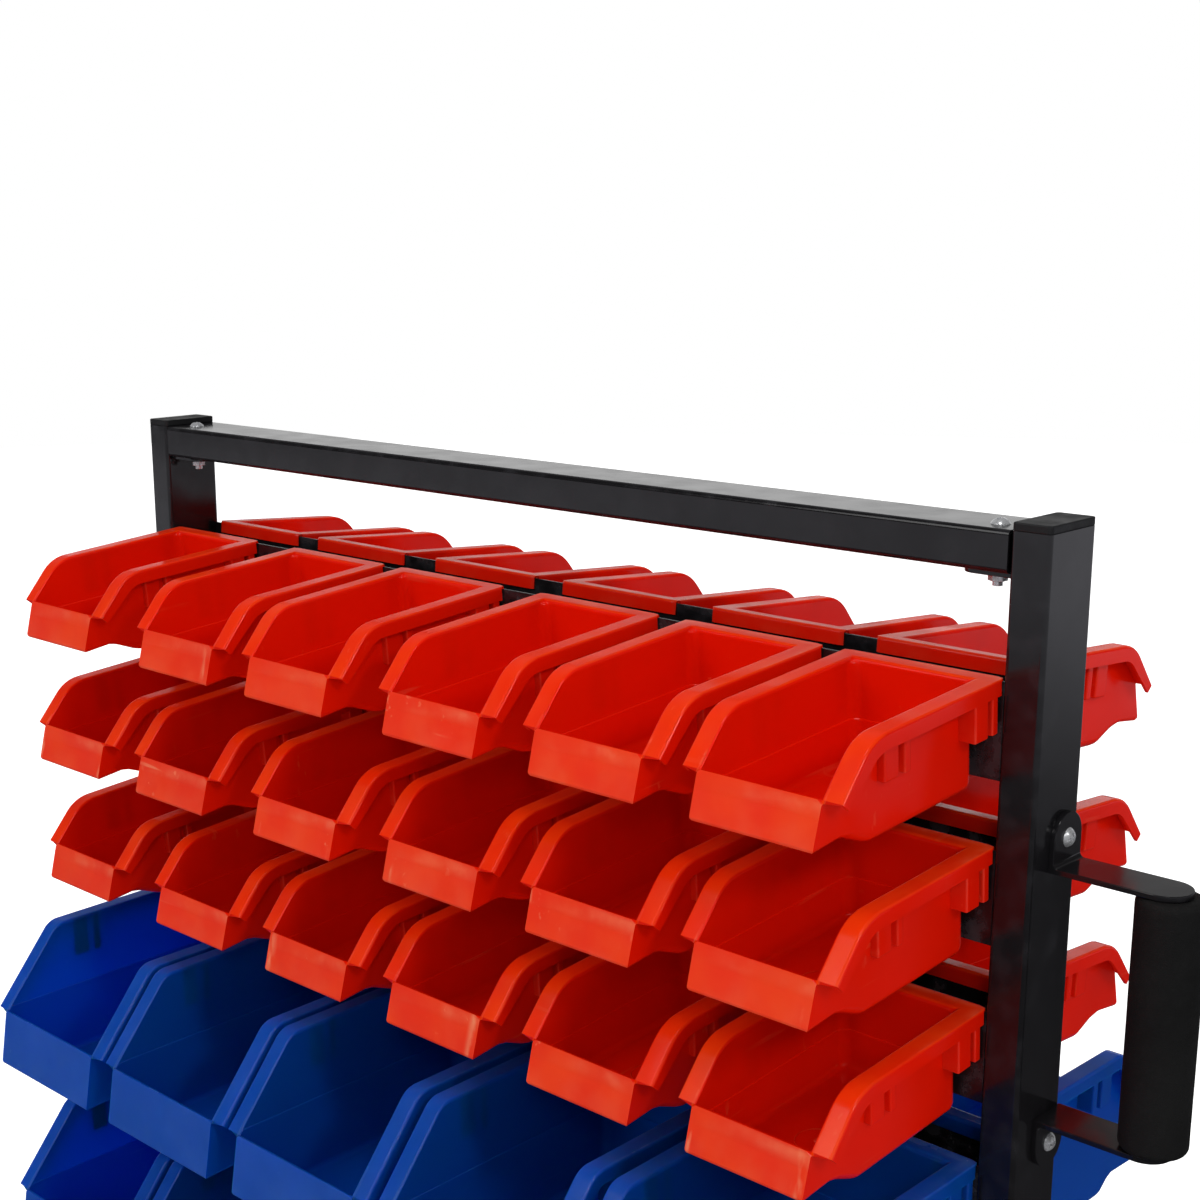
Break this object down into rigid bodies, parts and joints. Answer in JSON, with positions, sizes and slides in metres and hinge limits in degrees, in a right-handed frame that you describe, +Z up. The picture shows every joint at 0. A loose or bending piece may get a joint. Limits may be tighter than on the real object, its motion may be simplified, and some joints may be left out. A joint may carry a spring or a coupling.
{
  "type": "mobile parts bin rack",
  "caption": "Double-sided rolling rack of hung red and blue open-front parts bins on black rails between tube posts, with a side handle and swivel castors.",
  "frame": {"origin": "floor level, under the middle of the overall box", "axes": "+Z up, +X along the rack towards the handle, -Y the front"},
  "size_m": [0.959, 0.51, 1.005],
  "materials": {
    "black_frame": "gloss black powder coat",
    "cap_plastic": "moulded black plastic",
    "zinc_screws": "bright zinc plate",
    "zinc_castor": "pressed zinc-plated steel",
    "rod_steel": "plain steel",
    "foam": "matt black foam rubber",
    "hub_plastic": "moulded pale grey plastic",
    "tyre_rubber": "matt black tread",
    "pedal_plastic": "moulded red plastic",
    "red_plastic": "glossy moulded orange-red polypropylene",
    "blue_plastic": "satin moulded royal blue polypropylene"
  },
  "bodies": {
    "frame": {"left_post": "black_frame", "right_post": "black_frame", "tube_caps": "cap_plastic", "top_rail": "black_frame", "top_rail_tabs": "black_frame", "top_rail_bolts": "zinc_screws", "hex_nuts": "zinc_screws", "bin_rail_1": "black_frame", "bin_rail_2": "black_frame", "bin_rail_3": "black_frame", "bin_rail_4": "black_frame", "bin_rail_5": "black_frame", "bin_rail_6": "black_frame", "rail_screws": "zinc_screws", "left_foot": "black_frame", "right_foot": "black_frame", "lower_cross_rail": "black_frame", "upper_handle_bracket": "black_frame", "lower_handle_bracket": "black_frame", "handle_screws": "zinc_screws", "handle_rod": "rod_steel", "handle_grip": "foam", "castor_stems": "zinc_castor"},
    "left_front_castor": {"left_front_fork": "zinc_castor", "left_front_axle": "zinc_screws"},
    "left_front_wheel": {"left_front_hub": "hub_plastic", "left_front_tyre": "tyre_rubber"},
    "left_brake": {"left_brake_pedal": "pedal_plastic"},
    "right_front_castor": {"right_front_fork": "zinc_castor", "right_front_axle": "zinc_screws"},
    "right_front_wheel": {"right_front_hub": "hub_plastic", "right_front_tyre": "tyre_rubber"},
    "right_brake": {"right_brake_pedal": "pedal_plastic"},
    "left_rear_castor": {"left_rear_fork": "zinc_castor", "left_rear_axle": "zinc_screws"},
    "left_rear_wheel": {"left_rear_hub": "hub_plastic", "left_rear_tyre": "tyre_rubber"},
    "right_rear_castor": {"right_rear_fork": "zinc_castor", "right_rear_axle": "zinc_screws"},
    "right_rear_wheel": {"right_rear_hub": "hub_plastic", "right_rear_tyre": "tyre_rubber"},
    "front_red_bin_1_lift": {"front_red_bin_1": "red_plastic"},
    "front_red_bin_2_lift": {"front_red_bin_2": "red_plastic"},
    "front_red_bin_3_lift": {"front_red_bin_3": "red_plastic"},
    "front_red_bin_4_lift": {"front_red_bin_4": "red_plastic"},
    "front_red_bin_5_lift": {"front_red_bin_5": "red_plastic"},
    "front_red_bin_6_lift": {"front_red_bin_6": "red_plastic"},
    "front_red_row_2_lift": {"front_red_row_2": "red_plastic"},
    "front_red_row_3_lift": {"front_red_row_3": "red_plastic"},
    "rear_red_row_1_lift": {"rear_red_row_1": "red_plastic"},
    "rear_red_row_2_lift": {"rear_red_row_2": "red_plastic"},
    "rear_red_row_3_lift": {"rear_red_row_3": "red_plastic"},
    "front_blue_row_1_lift": {"front_blue_row_1": "blue_plastic"},
    "front_blue_row_2_lift": {"front_blue_row_2": "blue_plastic"},
    "front_blue_row_3_lift": {"front_blue_row_3": "blue_plastic"},
    "rear_blue_row_1_lift": {"rear_blue_row_1": "blue_plastic"},
    "rear_blue_row_2_lift": {"rear_blue_row_2": "blue_plastic"},
    "rear_blue_row_3_lift": {"rear_blue_row_3": "blue_plastic"}
  },
  "joints": [
    {"name": "left_front_swivel", "type": "hinge", "parent": "frame", "child": "left_front_castor", "pos_m": [-0.457, -0.19, 0.09], "axis": [0, 0, 1], "continuous": true},
    {"name": "left_front_roll", "type": "hinge", "parent": "left_front_castor", "child": "left_front_wheel", "pos_m": [-0.457, -0.212, 0.0375], "axis": [1, 0, 0], "continuous": true},
    {"name": "left_brake_press", "type": "hinge", "parent": "left_front_castor", "child": "left_brake", "pos_m": [-0.457, -0.234, 0.0785], "axis": [1, 0, 0], "range_deg": [0, 25]},
    {"name": "right_front_swivel", "type": "hinge", "parent": "frame", "child": "right_front_castor", "pos_m": [0.378, -0.19, 0.09], "axis": [0, 0, 1], "continuous": true},
    {"name": "right_front_roll", "type": "hinge", "parent": "right_front_castor", "child": "right_front_wheel", "pos_m": [0.378, -0.212, 0.0375], "axis": [1, 0, 0], "continuous": true},
    {"name": "right_brake_press", "type": "hinge", "parent": "right_front_castor", "child": "right_brake", "pos_m": [0.378, -0.234, 0.0785], "axis": [1, 0, 0], "range_deg": [0, 25]},
    {"name": "left_rear_swivel", "type": "hinge", "parent": "frame", "child": "left_rear_castor", "pos_m": [-0.457, 0.19, 0.09], "axis": [0, 0, 1], "continuous": true},
    {"name": "left_rear_roll", "type": "hinge", "parent": "left_rear_castor", "child": "left_rear_wheel", "pos_m": [-0.457, 0.212, 0.0375], "axis": [1, 0, 0], "continuous": true},
    {"name": "right_rear_swivel", "type": "hinge", "parent": "frame", "child": "right_rear_castor", "pos_m": [0.378, 0.19, 0.09], "axis": [0, 0, 1], "continuous": true},
    {"name": "right_rear_roll", "type": "hinge", "parent": "right_rear_castor", "child": "right_rear_wheel", "pos_m": [0.378, 0.212, 0.0375], "axis": [1, 0, 0], "continuous": true},
    {"name": "front_red_bin_1_unhook", "type": "slide", "parent": "frame", "child": "front_red_bin_1_lift", "axis": [0, 0, 1], "range_m": [0, 0.03]},
    {"name": "front_red_bin_2_unhook", "type": "slide", "parent": "frame", "child": "front_red_bin_2_lift", "axis": [0, 0, 1], "range_m": [0, 0.03]},
    {"name": "front_red_bin_3_unhook", "type": "slide", "parent": "frame", "child": "front_red_bin_3_lift", "axis": [0, 0, 1], "range_m": [0, 0.03]},
    {"name": "front_red_bin_4_unhook", "type": "slide", "parent": "frame", "child": "front_red_bin_4_lift", "axis": [0, 0, 1], "range_m": [0, 0.03]},
    {"name": "front_red_bin_5_unhook", "type": "slide", "parent": "frame", "child": "front_red_bin_5_lift", "axis": [0, 0, 1], "range_m": [0, 0.03]},
    {"name": "front_red_bin_6_unhook", "type": "slide", "parent": "frame", "child": "front_red_bin_6_lift", "axis": [0, 0, 1], "range_m": [0, 0.03]},
    {"name": "front_red_row_2_unhook", "type": "slide", "parent": "frame", "child": "front_red_row_2_lift", "axis": [0, 0, 1], "range_m": [0, 0.016]},
    {"name": "front_red_row_3_unhook", "type": "slide", "parent": "frame", "child": "front_red_row_3_lift", "axis": [0, 0, 1], "range_m": [0, 0.016]},
    {"name": "rear_red_row_1_unhook", "type": "slide", "parent": "frame", "child": "rear_red_row_1_lift", "axis": [0, 0, 1], "range_m": [0, 0.016]},
    {"name": "rear_red_row_2_unhook", "type": "slide", "parent": "frame", "child": "rear_red_row_2_lift", "axis": [0, 0, 1], "range_m": [0, 0.016]},
    {"name": "rear_red_row_3_unhook", "type": "slide", "parent": "frame", "child": "rear_red_row_3_lift", "axis": [0, 0, 1], "range_m": [0, 0.016]},
    {"name": "front_blue_row_1_unhook", "type": "slide", "parent": "frame", "child": "front_blue_row_1_lift", "axis": [0, 0, 1], "range_m": [0, 0.016]},
    {"name": "front_blue_row_2_unhook", "type": "slide", "parent": "frame", "child": "front_blue_row_2_lift", "axis": [0, 0, 1], "range_m": [0, 0.016]},
    {"name": "front_blue_row_3_unhook", "type": "slide", "parent": "frame", "child": "front_blue_row_3_lift", "axis": [0, 0, 1], "range_m": [0, 0.016]},
    {"name": "rear_blue_row_1_unhook", "type": "slide", "parent": "frame", "child": "rear_blue_row_1_lift", "axis": [0, 0, 1], "range_m": [0, 0.016]},
    {"name": "rear_blue_row_2_unhook", "type": "slide", "parent": "frame", "child": "rear_blue_row_2_lift", "axis": [0, 0, 1], "range_m": [0, 0.016]},
    {"name": "rear_blue_row_3_unhook", "type": "slide", "parent": "frame", "child": "rear_blue_row_3_lift", "axis": [0, 0, 1], "range_m": [0, 0.016]}
  ]
}
